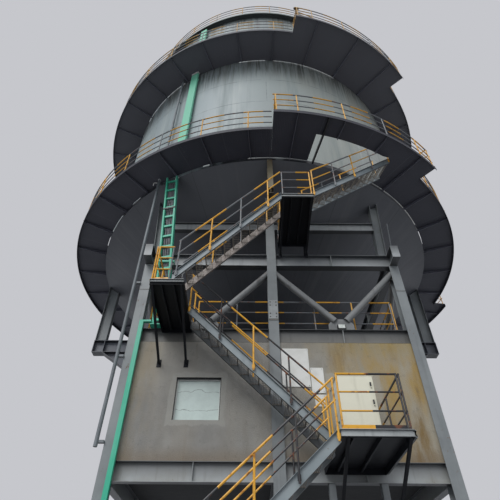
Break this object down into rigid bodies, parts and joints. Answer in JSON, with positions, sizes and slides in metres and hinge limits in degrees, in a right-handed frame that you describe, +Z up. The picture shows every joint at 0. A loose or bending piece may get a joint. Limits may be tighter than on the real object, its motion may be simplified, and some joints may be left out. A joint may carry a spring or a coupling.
{
  "type": "wet electrostatic precipitator",
  "caption": "Round wet electrostatic precipitator on a steel frame with a conical hopper, ring walkways, zigzag stairs, a closed room between the columns and a hinged equipment cabinet",
  "frame": {"origin": "on the ground at the middle of the centre column's base plate, under the vessel's axis", "axes": "+Z up along the vessel's axis, front with the stairs towards -Y, +X to the right seen from the front"},
  "size_m": [19.4956, 19.6176, 31.75],
  "materials": {
    "frame_steel": "blue-grey painted structural steel, satin, weathered",
    "walkway_steel": "dark painted plate and channels, dirty underneath",
    "shell_plate": "pale grey-green painted plate with weld seams and drip streaks",
    "hopper_plate": "dark grey painted plate, streaked",
    "safety_paint": "hazard yellow and dark grey banded paint on tube",
    "render_wall": "grey rendered panels with ochre stains",
    "concrete": "cast concrete, matt",
    "tread_plate": "chequer plate, rusty underneath",
    "cabinet_enamel": "cream powder coat, satin",
    "window_frame": "grey painted steel frame",
    "window_pane": "pale translucent sheet",
    "tray_green": "green coated cable tray",
    "pipe_grey": "grey painted pipe"
  },
  "bodies": {
    "root": {"front_columns": "frame_steel", "rear_columns": "frame_steel", "side_columns": "frame_steel", "centre_column": "frame_steel", "floor_beams": "frame_steel", "roof_beams": "frame_steel", "girders": "frame_steel", "cross_beams": "frame_steel", "side_girders": "frame_steel", "upper_legs": "frame_steel", "leg_beams": "frame_steel", "outriggers": "frame_steel", "frame_braces": "frame_steel", "front_wall": "render_wall", "rear_wall": "render_wall", "left_wall": "render_wall", "right_wall": "render_wall", "rear_door": "frame_steel", "window_frames": "window_frame", "window_panes": "window_pane", "floor_slab": "concrete", "roof_deck": "walkway_steel", "hopper": "hopper_plate", "hopper_outlet": "hopper_plate", "lower_shell": "shell_plate", "upper_shell": "shell_plate", "vessel_roof": "walkway_steel", "inlet_nozzle": "shell_plate", "lower_walkway": "walkway_steel", "upper_walkway": "walkway_steel", "lower_brackets": "walkway_steel", "upper_brackets": "walkway_steel", "lower_rail": "safety_paint", "upper_rail": "safety_paint", "top_rail": "safety_paint", "stair_stringers": "frame_steel", "flight_one_treads": "tread_plate", "flight_two_treads": "tread_plate", "flight_three_treads": "tread_plate", "flight_four_treads": "tread_plate", "stair_rails": "safety_paint", "rear_landing": "frame_steel", "low_landing": "frame_steel", "mid_landing": "frame_steel", "high_landing": "frame_steel", "landing_posts": "frame_steel", "landing_rails": "safety_paint", "roof_rails": "safety_paint", "cabinet": "cabinet_enamel", "cable_trays": "tray_green", "cable_ladder": "tray_green", "riser_pipe": "pipe_grey", "access_ladders": "safety_paint", "insulator_housings": "shell_plate"},
    "door": {"cabinet_door": "cabinet_enamel"}
  },
  "joints": [
    {"name": "cabinet_door_hinge", "type": "hinge", "parent": "root", "child": "door", "pos_m": [1.438, -7.4628, 5.75], "axis": [0, 0, -1], "range_deg": [0, 95]}
  ]
}
